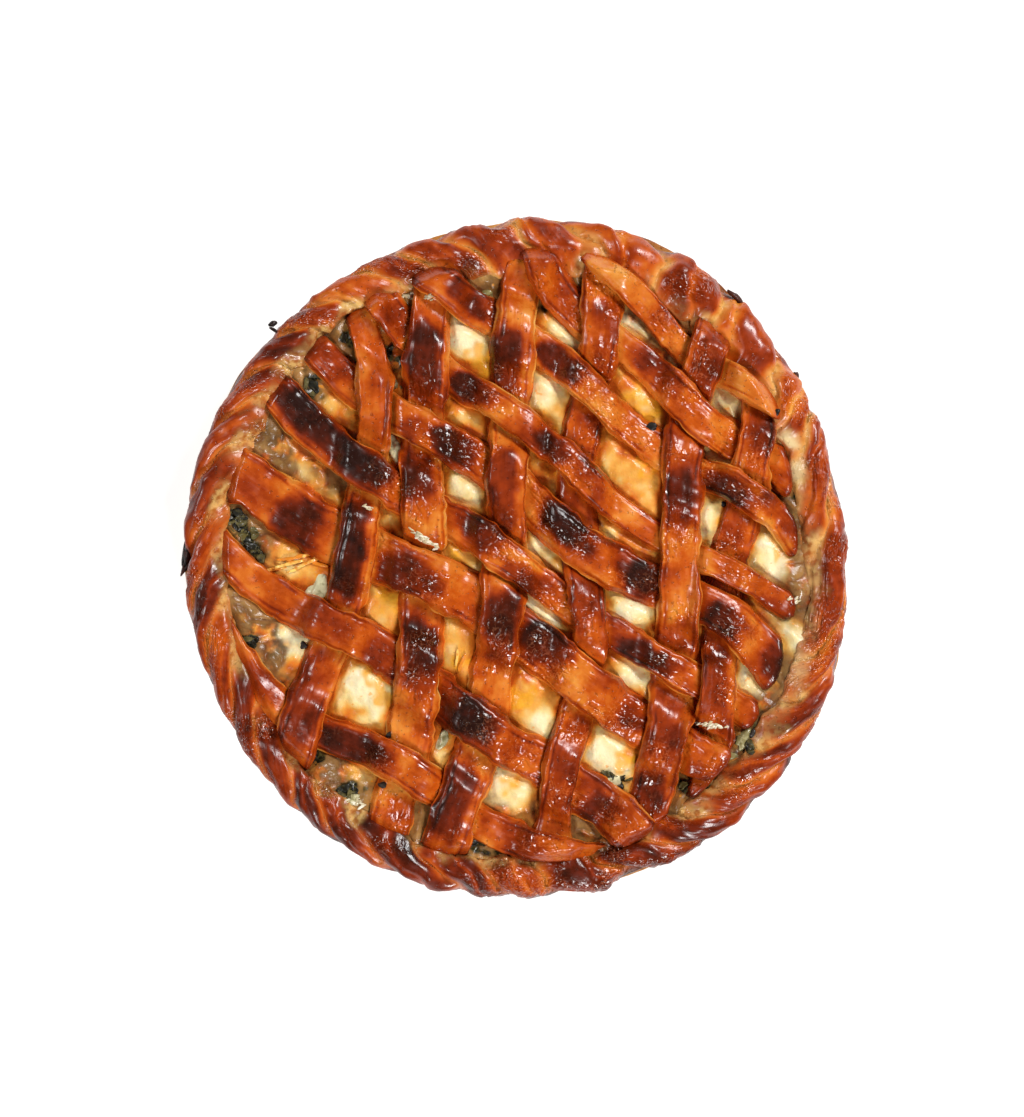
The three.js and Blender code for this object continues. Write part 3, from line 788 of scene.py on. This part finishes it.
def make_filling(finish):
    """The filling: a round sheet that swells in the windows, drawn down to the crust."""
    piece, across, up = new_sheet("pie_filling", FILLING_CELLS, FILLING_CELLS)
    column, row = 2 * across - 1, 2 * up - 1
    disc = stacked(column * np.sqrt(1 - row ** 2 / 2), row * np.sqrt(1 - column ** 2 / 2))
    angle = np.arctan2(disc[:, 1], disc[:, 0])
    place = disc * (FILLING_EDGE * outline_share(angle))[:, None]
    distance = lattice_distance(place)
    level = filling_height(place, distance)
    shape(piece, place[:, 0], place[:, 1], level)
    warp = 3.0 * stacked(uneven(place, 5, 76), uneven(place, 5, 77))
    gold = 0.62 + 0.24 * uneven(place, 7, 71) + 0.14 * uneven(place, 3, 70)
    gold += 0.42 * np.exp(-np.clip(distance, 0, None) / 1.9)
    gold -= 0.58 * ease(1.6 * nearness(place + warp, PALE_WINDOWS, PALE_REACH))
    gold -= 0.08 * nearness(place + warp, GOLDEN_WINDOWS, GOLDEN_REACH)
    rim = ease((rim_share(place) - 0.8 + 0.06 * uneven(place, 12, 72)) / 0.14)
    rim *= 0.85 - 0.7 * nearness(place, PALE_WINDOWS, PALE_RIM_REACH)
    warp = 2.6 * stacked(uneven(place, 4, 74), uneven(place, 4, 75))
    greens = nearness(place + warp, DARK_GREENS, GREEN_REACH) * ease(0.9 + uneven(place, 3, 73))
    folded = 1.5 * nearness(place + warp, FOLDED_DOUGH, FOLD_REACH) + 0.25 * uneven(place, 4, 78)
    folded = ease(folded)
    stain = 1.6 * nearness(place + 1.4 * warp, ORANGE_STAINS, STAIN_REACH) + 0.4 * uneven(place, 3, 79)
    stain = ease(stain)
    # The fold crease mark is painted shade in the valleys between the dough folds
    note(piece, gold=np.clip(gold, 0, 1), stain=stain, rim=rim, greens=greens, folded=folded,
         crease=folded * ease(1 - 2.2 * dough_folds(place)))
    bpy.ops.object.mode_set(mode="EDIT")
    bpy.ops.mesh.select_mode(type="EDGE")
    bpy.ops.mesh.select_all(action="DESELECT")
    bpy.ops.mesh.select_non_manifold()
    bpy.ops.mesh.extrude_region_move()
    foot = FILLING_FOOT / FILLING_EDGE
    bpy.ops.transform.resize(value=(foot, foot, 0), center_override=(0, 0, FILLING_BOTTOM * MM))
    bpy.ops.mesh.edge_face_add()
    bpy.ops.mesh.select_all(action="SELECT")
    bpy.ops.mesh.normals_make_consistent(inside=False)
    bpy.ops.object.mode_set(mode="OBJECT")
    dress(piece, finish, "filling", "filling")
    return piece


class Wire:
    """One socket of a finish. Sums and products of wires add the Math nodes they need."""

    def __init__(self, tree, socket=None):
        self.tree = tree
        self.socket = socket

    def add(self, kind, settings=None, sockets=None, output=0):
        """Adds a node: its settings first, then the values or wires of its sockets."""
        node = self.tree.nodes.new("ShaderNode" + kind)
        for name, value in (settings or {}).items():
            if name == "stops":
                ramp = node.color_ramp
                while len(ramp.elements) < len(value):
                    ramp.elements.new(1.0)
                for element, (position, colour) in zip(ramp.elements, value):
                    element.position = position
                    element.color = colour
            else:
                setattr(node, name, value)
        for name, value in (sockets or {}).items():
            if isinstance(value, Wire):
                self.tree.links.new(value.socket, node.inputs[name])
            else:
                node.inputs[name].default_value = value
        return Wire(self.tree, node.outputs[output] if node.outputs else None)

    def math(self, operation, first, second):
        """One Math node."""
        return self.add("Math", {"operation": operation}, {0: first, 1: second})

    def __add__(self, other):
        return self.math("ADD", self, other)

    def __sub__(self, other):
        return self.math("SUBTRACT", self, other)

    def __rsub__(self, other):
        return self.math("SUBTRACT", other, self)

    def __mul__(self, other):
        return self.math("MULTIPLY", self, other)

    __radd__ = __add__
    __rmul__ = __mul__

    def off_middle(self):
        """How far a noise is from its middle value."""
        return self.math("ABSOLUTE", self - 0.5, 0.0)

    def eased(self, low, high):
        """0 below low, 1 above high, eased between."""
        return self.add("MapRange", {"interpolation_type": "SMOOTHSTEP"},
                        {"Value": self, "From Min": low, "From Max": high})

    def mark(self, name, output="Fac"):
        """A value that was noted on the piece's points."""
        return self.add("Attribute", {"attribute_name": name}, output=output)

    def noise(self, place, scale, detail=2.0):
        """Soft random values over a piece."""
        return self.add("TexNoise", None, {"Vector": place, "Scale": scale, "Detail": detail})

    def mixed(self, share, first, second):
        """A colour at a share of the way from first to second."""
        return self.add("Mix", {"data_type": "RGBA"}, {0: share, 6: first, 7: second}, output=2)

    def stretched(self, place, factors):
        """A place scaled by its own factor along each axis."""
        return self.add("VectorMath", {"operation": "MULTIPLY"}, {0: place, 1: factors})


def tint(red, green, blue):
    """A colour given as it looks on screen, from 0 to 255."""
    shares = [value / 255 for value in (red, green, blue)]
    linear = [s / 12.92 if s < 0.04045 else ((s + 0.055) / 1.055) ** 2.4 for s in shares]
    return (*linear, 1.0)


BAKED_STOPS = (
    (0.0, tint(242, 196, 116)), (0.15, tint(234, 162, 70)), (0.32, tint(218, 120, 38)),
    (0.46, tint(193, 82, 14)), (0.60, tint(152, 51, 6)), (0.74, tint(108, 31, 4)),
    (0.87, tint(72, 21, 4)), (1.0, tint(40, 15, 8)),
)
CREAM_STOPS = (
    (0.0, tint(248, 234, 188)), (0.3, tint(240, 212, 142)), (0.6, tint(232, 168, 76)),
    (0.85, tint(214, 114, 30)), (1.0, tint(176, 78, 18)),
)
CRUST_STOPS = (
    (0.0, tint(238, 208, 152)), (0.3, tint(222, 172, 104)), (0.5, tint(196, 130, 64)),
    (0.7, tint(150, 84, 38)), (0.85, tint(98, 50, 26)), (1.0, tint(50, 27, 18)),
)


# Pattern scales of the baked finishes over a metre, then two patterns that follow the dough's own lay
BROAD_SCALE = 95.0
MEDIUM_SCALE = 340.0
LUMP_SCALE = 260.0
CRACKLE_SCALE = 500.0
PIT_SCALE = 620.0
GRAIN_STRETCH = (55.0, 650.0, 1.0)
WRINKLE_STRETCH = (250.0, 430.0, 300.0)

# Colours of details in the baked finishes
# Flaked glaze: whitish dried egg wash, partly a painted glint
FLAKED_GLAZE_AND_GLINT = tint(240, 174, 132)
DARK_PITS = tint(70, 30, 20)
SOFT_DOUGH = (tint(152, 98, 38), tint(224, 184, 110))
# Painted shade for the wrinkle creases of soft dough
WRINKLE_CREASE_SHADE = tint(118, 62, 22)
CREAMY_DOUGH = tint(238, 216, 162)


def new_finish(name):
    """An empty material and a wire to build its nodes with."""
    material = bpy.data.materials.new(name)
    material.use_nodes = True
    material.node_tree.nodes.clear()
    return material, Wire(material.node_tree)


def shaded(wire, sockets):
    """Ends a finish with its shader."""
    shader = wire.add("BsdfPrincipled", None, sockets)
    wire.add("OutputMaterial", None, {"Surface": shader})


def baked_finish(name, stops, gloss, dryness, streaks):
    """Egg-washed pastry, from tan through orange and red-brown to burnt."""
    material, wire = new_finish(name)
    spot = wire.add("TexCoord", output="Object")
    browning = wire.mark("browning")
    crinkle = wire.mark("crinkle")
    lay = wire.mark("lay", "Vector")
    broad = wire.noise(spot, BROAD_SCALE, 2.0)
    medium = wire.noise(spot, MEDIUM_SCALE, 3.0)
    lumps = wire.noise(spot, LUMP_SCALE, 0.0)
    grain = wire.noise(wire.stretched(lay, GRAIN_STRETCH), 1.0, 1.0)
    crackle = wire.noise(spot, CRACKLE_SCALE, 1.0)
    tone = browning + (broad - 0.5) * 0.3 + (medium - 0.5) * 0.2 + (grain - 0.5) * streaks
    # Light squiggles in crinkled zones: whitish flaked egg wash, partly a painted glint
    squiggle = 1 - crackle.off_middle().eased(0.005, 0.05)
    flaked_and_glint = squiggle * crinkle * broad.eased(0.4, 0.58)
    baked = wire.add("ValToRGB", {"stops": stops}, {"Fac": tone - flaked_and_glint * 0.12})
    baked = wire.mixed(flaked_and_glint * 0.14, baked, FLAKED_GLAZE_AND_GLINT)
    pits = wire.noise(spot, PIT_SCALE, 1.0).eased(0.66, 0.74)
    pitted = wire.mixed(pits * 0.3, baked, DARK_PITS)
    pale = wire.mixed(medium.eased(0.32, 0.6), *SOFT_DOUGH)
    # Thin dark lines over crinkled soft dough: painted shade in the wrinkle creases
    clear_of_wrinkle_shade = medium.off_middle().eased(0.01, 0.07)
    pale = wire.mixed((1 - clear_of_wrinkle_shade) * crinkle * 0.6, pale, WRINKLE_CREASE_SHADE)
    pale = wire.mixed(wire.mark("creamy"), pale, CREAMY_DOUGH)
    softened = wire.mixed(wire.mark("soft"), pitted, pale)
    glossy = (broad + medium).eased(0.85, 1.2)
    wrinkles = wire.noise(wire.stretched(lay, WRINKLE_STRETCH), 1.0, 0.0)
    worms = wrinkles.off_middle().eased(0.0, 0.2)
    roughness = dryness + 0.03 - glossy * 0.08 - crinkle * 0.16
    relief = lumps * (0.13 + crinkle * 0.2) + crackle * (0.06 + crinkle * 0.76) - pits * 0.3
    relief = relief + worms * crinkle * 0.55 + grain * 0.2
    bump = wire.add("Bump", None, {"Strength": 0.9, "Distance": 0.0009, "Height": relief})
    coat = (1 - wire.mark("soft")) * gloss * glossy * 0.3
    shaded(wire, {
        "Base Color": softened, "Roughness": roughness, "Specular IOR Level": gloss, "Coat Weight": coat,
        "Coat Roughness": 0.07, "Normal": bump,
    })
    return material


def filling_finish():
    """Set cream and soft cheese, golden by the strips, dull and green by the rim."""
    material, wire = new_finish("creamy_filling")
    spot = wire.add("TexCoord", output="Object")
    broad = wire.noise(spot, 70.0, 3.0)
    medium = wire.noise(spot, 260.0, 3.0)
    fine = wire.noise(spot, 900.0, 2.0)
    gold = wire.mark("gold") + (broad - 0.5) * 0.5 + (medium - 0.5) * 0.25
    cream = wire.add("ValToRGB", {"stops": CREAM_STOPS}, {"Fac": gold})
    cream = wire.mixed(wire.mark("stain") * 0.8, cream, tint(240, 168, 40))
    rim = wire.mark("rim") * (0.55 + medium * 0.6)
    dough = wire.mixed(broad.eased(0.3, 0.7), tint(102, 70, 36), tint(178, 132, 74))
    dulled = wire.mixed(rim.eased(0.1, 0.8), cream, dough)
    crust = wire.add("ValToRGB", {"stops": BAKED_STOPS}, {"Fac": (broad + medium - 1.0) * 0.9 + 0.36})
    olive = wire.mixed(broad.eased(0.4, 0.68), tint(94, 66, 36), tint(162, 120, 70))
    stained = wire.mixed(wire.noise(spot, 140.0, 2.0).eased(0.3, 0.52), crust, olive)
    dulled = wire.mixed(wire.mark("folded") * 0.9, dulled, stained)
    # Painted shade darkens the creases between the dough folds
    dulled = wire.mixed(wire.mark("crease") * 0.6, dulled, tint(100, 50, 22))
    specks = wire.noise(spot, 480.0, 2.0).eased(0.56, 0.68)
    dulled = wire.mixed(specks * wire.mark("folded") * 0.3, dulled, tint(92, 50, 24))
    flecks = wire.noise(spot, 330.0, 1.0).eased(0.68, 0.74)
    dulled = wire.mixed(flecks * (1 - wire.mark("folded")) * 0.6, dulled, tint(236, 150, 40))
    greens = wire.mark("greens") + (medium - 0.5) * 0.3
    leaf = wire.mixed(fine.eased(0.4, 0.65), tint(28, 26, 14), tint(84, 76, 38))
    greened = wire.mixed(greens.eased(0.25, 0.7), dulled, leaf)
    bump = wire.add("Bump", None, {"Strength": 0.6, "Distance": 0.0008, "Height": medium + fine * 0.5})
    shaded(wire, {
        "Base Color": greened, "Roughness": 0.34 + (medium - 0.5) * 0.3, "Coat Weight": broad * 0.4,
        "Specular IOR Level": 0.25, "Coat Roughness": 0.15, "Normal": bump, "Subsurface Weight": 0.1,
        "Subsurface Radius": (0.004, 0.002, 0.001), "Subsurface Scale": 1.0,
    })
    return material


def plain_finish(name, dark, light, gloss):
    """A small bit's finish: two tones that follow its lumps."""
    material, wire = new_finish(name)
    spot = wire.add("TexCoord", output="Object")
    medium = wire.noise(spot, 420.0, 3.0)
    fine = wire.noise(spot, 1400.0, 2.0)
    toned = wire.mixed((medium + wire.mark("shade") * 0.25).eased(0.4, 0.75), dark, light)
    bump = wire.add("Bump", None, {"Strength": 0.5, "Distance": 0.0005, "Height": medium + fine * 0.5})
    shaded(wire, {
        "Base Color": toned, "Roughness": 0.55 - gloss * 0.3 + (fine - 0.5) * 0.2,
        "Specular IOR Level": 0.3, "Coat Weight": gloss, "Coat Roughness": 0.12, "Normal": bump,
    })
    return material


def surface_under(pieces, across, up):
    """Height of the highest baked surface under a place."""
    above = ((across + PIE_MIDDLE[0]) * MM, (up + PIE_MIDDLE[1]) * MM, WELL_ABOVE * MM)
    hits = [piece.ray_cast(above, (0, 0, -1)) for piece in pieces]
    return max(point.z / MM for hit, point, _, _ in hits if hit)


def joined(name, made):
    """Makes one piece of many bits of a kind."""
    pick(*made)
    bpy.ops.object.join()
    made[0].name = name
    made[0].data.name = name
    return made[0]


def turned(along, across, angle):
    """A place turned about the middle."""
    return (along * math.cos(angle) - across * math.sin(angle),
            along * math.sin(angle) + across * math.cos(angle))


def make_lumps(name, lumps, dents, finish, slot):
    """Bits that start as balls, get dented and lie at their own level."""
    made = []
    for seed, (across, up, level, length, width, height, angle) in enumerate(lumps):
        pick()
        bpy.ops.mesh.primitive_ico_sphere_add(subdivisions=2 if length < SMALL_LUMP else 3, radius=1)
        lump = bpy.context.object
        points = points_of(lump)
        points = points * (1 + dents * uneven(points + 10, 0.8, 80 + seed))[:, None]
        east, north = turned(points[:, 0] * length / 2, points[:, 1] * width / 2, math.radians(angle))
        shape(lump, across + east, up + north, level + points[:, 2] * height / 2)
        note(lump, shade=np.full(len(points), math.sin(7.0 * seed)))
        made.append(lump)
    piece = joined(name, made)
    dress(piece, finish, slot)
    return piece


def laid_on(pieces, bits, sunk=-0.1):
    """Gives each bit the level of the surface that it lies on, sunk in by a share of its height."""
    return [(across, up, surface_under(pieces, across, up) - sunk * height, length, width, height, angle)
            for across, up, length, width, height, angle in bits]


def stuck_outside(bits):
    """Bits stuck to the rope's outer side, by rim angle, stand-out, length, width, height and lean."""
    stuck = []
    for angle, stand_out, length, width, height, lean in bits:
        radius = PIE_RADIUS * float(outline_share(math.radians(angle))) + stand_out
        across, up = turned(radius, 0, math.radians(angle))
        stuck.append((across, up, ROPE_MIDDLE_HEIGHT - 1, length, width, height, angle + lean))
    return stuck


def make_flakes(name, flakes, crumple, thickness, pieces, finish):
    """Thin flakes and leaf shreds: small waved sheets laid over what is under them, then thickened."""
    made = []
    for seed, (across, up, length, width, angle) in enumerate(flakes):
        flake, along, over = new_sheet(name, *FLAKE_CELLS)
        along, over = 2 * along - 1, 2 * over - 1
        lay = stacked(along * length / 2, over * width / 2) + 50
        taper = (1 - 0.6 * np.abs(along) ** 2.5) * (1 + 0.35 * uneven(lay, 2.0, 90 + seed))
        sway = 0.12 * width * np.sin(3 * along + seed)
        east, north = turned(along * length / 2, over * taper * width / 2 + sway, math.radians(angle))
        under = [surface_under(pieces, across + x, up + y) for x, y in zip(east, north)]
        level = np.median(under) + np.clip(under - np.median(under), -0.5, 0.8) + 0.4 * thickness
        level = level + crumple * (0.3 + uneven(lay, 2.4, 190 + seed))
        shape(flake, across + east, up + north, level)
        note(flake, shade=np.full(len(along), math.sin(9.0 * seed)))
        made.append(flake)
    piece = joined(name, made)
    skin = piece.modifiers.new("flake_thickness", "SOLIDIFY")
    skin.thickness = thickness * MM
    skin.offset = 0
    bpy.ops.object.modifier_apply(modifier=skin.name)
    dress(piece, finish, "filling")
    return piece


def leaf_shreds(spots):
    """A few shreds near each spot where the lattice leaves room."""
    chance = np.random.default_rng(SHRED_SEED)
    shreds = []
    for across, up in spots:
        for _ in range(SHREDS_AT_SPOT):
            east, north = chance.uniform(-SHRED_SCATTER, SHRED_SCATTER, 2) + (across, up)
            facts = (chance.uniform(3, 6.5), chance.uniform(1.8, 4), chance.uniform(0, 180))
            spot = np.array([[east, north]])
            if lattice_distance(spot)[0] > SHRED_CLEARANCE and rim_share(spot)[0] < SHRED_REACH:
                shreds.append((east, north, *facts))
    return shreds


def crumb_clusters(clusters, size):
    """Spreads crumbs over each cluster's own length and width."""
    chance = np.random.default_rng(CRUMB_SEED)
    crumbs = []
    for across, up, length, width, angle, count in clusters:
        for _ in range(count):
            along = chance.normal(0, length / 5)
            over = chance.normal(0, width / 5)
            east, north = turned(along, over, math.radians(angle))
            bulk = size * chance.uniform(0.6, 1.3)
            lean = angle + chance.normal(20, 22)
            crumbs.append((across + east, up + north, bulk * chance.uniform(2, 4), bulk, bulk * 0.8, lean))
    return crumbs


# Toppings: place across and up, then length and width, for lumps also height, and turn
ONION_SLICES = (
    (-52, 73, 9, 5, 4, -60), (-52, 45, 12, 5, 4, -75), (-84, -12, 12, 8, 4, 60), (39, -92, 8, 5, 4, 20),
    (-32, -75, 9, 4, 3, 65), (93, -75, 9, 5, 3, 60), (88, -82, 8, 5, 3, 20), (75, -94, 11, 4, 3, 35),
    (-13, 111, 8, 5, 3, 40), (-70, -101, 10, 5, 3, 10),
)
PEPPER_BITS = (
    (55, 55, 5, 3.8, 2, -10), (-90, -36, 3.4, 3.2, 2, 0), (97, -73, 4, 3, 2, 50),
    (-57, -94, 4, 2.4, 1.6, 0), (-54, -73, 3.6, 2.2, 1.6, 30), (85, 23, 2.6, 2.2, 1.4, 0),
    (107, 61, 3.4, 2.6, 1.8, 60),
)
GOLDEN_FLAKES = (
    (-101, -4, 10, 1.5, 8), (-96, -2, 12, 1.4, 12), (-91, 1, 13, 1.6, 16), (-86, 3, 10, 1.4, 26),
    (-84, -2, 9, 1.5, -16), (-93, -4, 9, 1.3, 24), (-97, 0, 9, 1.2, 4), (-89, -2, 11, 1.3, 20),
    (-82, 1, 8, 1.4, 8), (-24, -43, 8, 1.4, 70), (-26, -41, 7, 1.2, 84),
)
CHEESE_CLUSTERS = (
    (-39, 8, 13, 3.4, -32, 60), (-46, 109, 5, 2.4, -20, 14), (-38, 109, 5, 2.4, 10, 14),
    (-69, -101, 7, 3, -15, 20), (80, -69, 12, 2.6, -12, 34), (-62, 21, 5, 1.4, -20, 9),
    (115, -17, 5, 3, -10, 10),
)
BURNT_BITS = (
    (178.5, -0.4, 17, 3.4, 5, 82), (181.5, 0.6, 8, 2.4, 4, 66), (50.3, -0.3, 8.5, 2.6, 3, 84),
    (33.5, -0.2, 4.5, 2.2, 3, 70), (137, 1.2, 5, 1.3, 1.5, 8), (136.4, 3.2, 3.4, 2.2, 2, 60),
)

strip_finish = baked_finish("glazed_lattice", BAKED_STOPS, 0.45, 0.28, 0.1)
rope_finish = baked_finish("glazed_rope", BAKED_STOPS, 0.4, 0.3, 0.08)
crust_finish = baked_finish("baked_crust", CRUST_STOPS, 0.12, 0.6, 0.1)
make_crust(crust_finish)
filling = make_filling(filling_finish())
rope = make_rope(rope_finish)
baked_pieces = [filling, rope] + [make_strip(strip, strip_finish) for strip in LATTICE]
make_flakes("green_shreds", leaf_shreds(DARK_GREENS), 1.0, 0.4, [filling, rope],
            plain_finish("cooked_greens", tint(24, 23, 10), tint(98, 88, 46), 0.15))
make_flakes("golden_flakes", GOLDEN_FLAKES, 0.5, 1.0, [filling],
            plain_finish("toasted_cheese", tint(226, 132, 30), tint(250, 206, 104), 0.5))
make_lumps("onion_slices", laid_on([filling, rope], ONION_SLICES, 0.2), 0.45,
           plain_finish("soft_onion", tint(136, 124, 76), tint(224, 216, 172), 0.4), "filling")
make_lumps("pepper_bits", laid_on(baked_pieces, PEPPER_BITS), 0.4,
           plain_finish("black_pepper_bits", tint(16, 13, 12), tint(50, 42, 36), 0.25), "filling")
make_lumps("cheese_crumbs", laid_on(baked_pieces, crumb_clusters(CHEESE_CLUSTERS, 0.9)), 0.4,
           plain_finish("white_cheese", tint(206, 190, 150), tint(246, 238, 214), 0.2), "filling")
make_lumps("burnt_bits", stuck_outside(BURNT_BITS), 0.5,
           plain_finish("burnt_drips", tint(18, 11, 10), tint(72, 34, 24), 0.1), "crust")

# Stage: floor, soft light and an overhead camera
FLOOR_SIZE = 6.0
VIEW_HEIGHT = 466.2
VIEW_MIDDLE = (-1.90, -0.45)
VIEW_LEVEL = 27.0
CAMERA_DISTANCE = 2200.0
SENSOR_HEIGHT = 36.0
CAMERA_REACH = 20.0
FLOOR_TONE = 0.4
FLOOR_GLOW = 0.85
ROOM_GLOW = 0.06


def make_stage():
    """A plain pale floor."""
    pick()
    bpy.ops.mesh.primitive_plane_add(size=FLOOR_SIZE)
    floor = bpy.context.object
    floor.name = "floor"
    material, wire = new_finish("pale_floor")
    shaded(wire, {"Base Color": (FLOOR_TONE, FLOOR_TONE, FLOOR_TONE, 1), "Roughness": 0.9,
                  "Specular IOR Level": 0.1, "Emission Color": (1, 1, 1, 1),
                  "Emission Strength": FLOOR_GLOW})
    floor.data.materials.append(material)


def make_light(name, place, size, power):
    """A soft round light that faces the pie."""
    pick()
    bpy.ops.object.light_add(type="AREA", location=place)
    light = bpy.context.object
    light.name = name
    light.data.shape = "DISK"
    light.data.size = size
    light.data.energy = power
    across, up, height = place
    light.rotation_euler = (math.atan2(math.hypot(across, up), height), 0, math.atan2(across, -up))


def make_camera():
    """A long lens straight above the pie."""
    pick()
    place = (VIEW_MIDDLE[0] * MM, VIEW_MIDDLE[1] * MM, (VIEW_LEVEL + CAMERA_DISTANCE) * MM)
    bpy.ops.object.camera_add(location=place, rotation=(0, 0, 0))
    camera = bpy.context.object
    camera.data.sensor_fit = "VERTICAL"
    camera.data.sensor_height = SENSOR_HEIGHT
    camera.data.lens = CAMERA_DISTANCE * SENSOR_HEIGHT / VIEW_HEIGHT
    camera.data.clip_end = CAMERA_REACH
    bpy.context.scene.camera = camera


make_stage()
make_light("key_light", (1.1, 1.1, 1.5), 0.7, 38)
make_light("front_light", (0.35, -1.35, 1.2), 0.32, 21)
make_light("left_light", (-1.4, 0.3, 1.3), 0.4, 10)
make_camera()
world = bpy.data.worlds.new("studio")
world.use_nodes = True
world.node_tree.nodes["Background"].inputs["Color"].default_value = (1, 1, 1, 1)
world.node_tree.nodes["Background"].inputs["Strength"].default_value = ROOM_GLOW
bpy.context.scene.world = world
bpy.context.scene.view_settings.view_transform = "Standard"
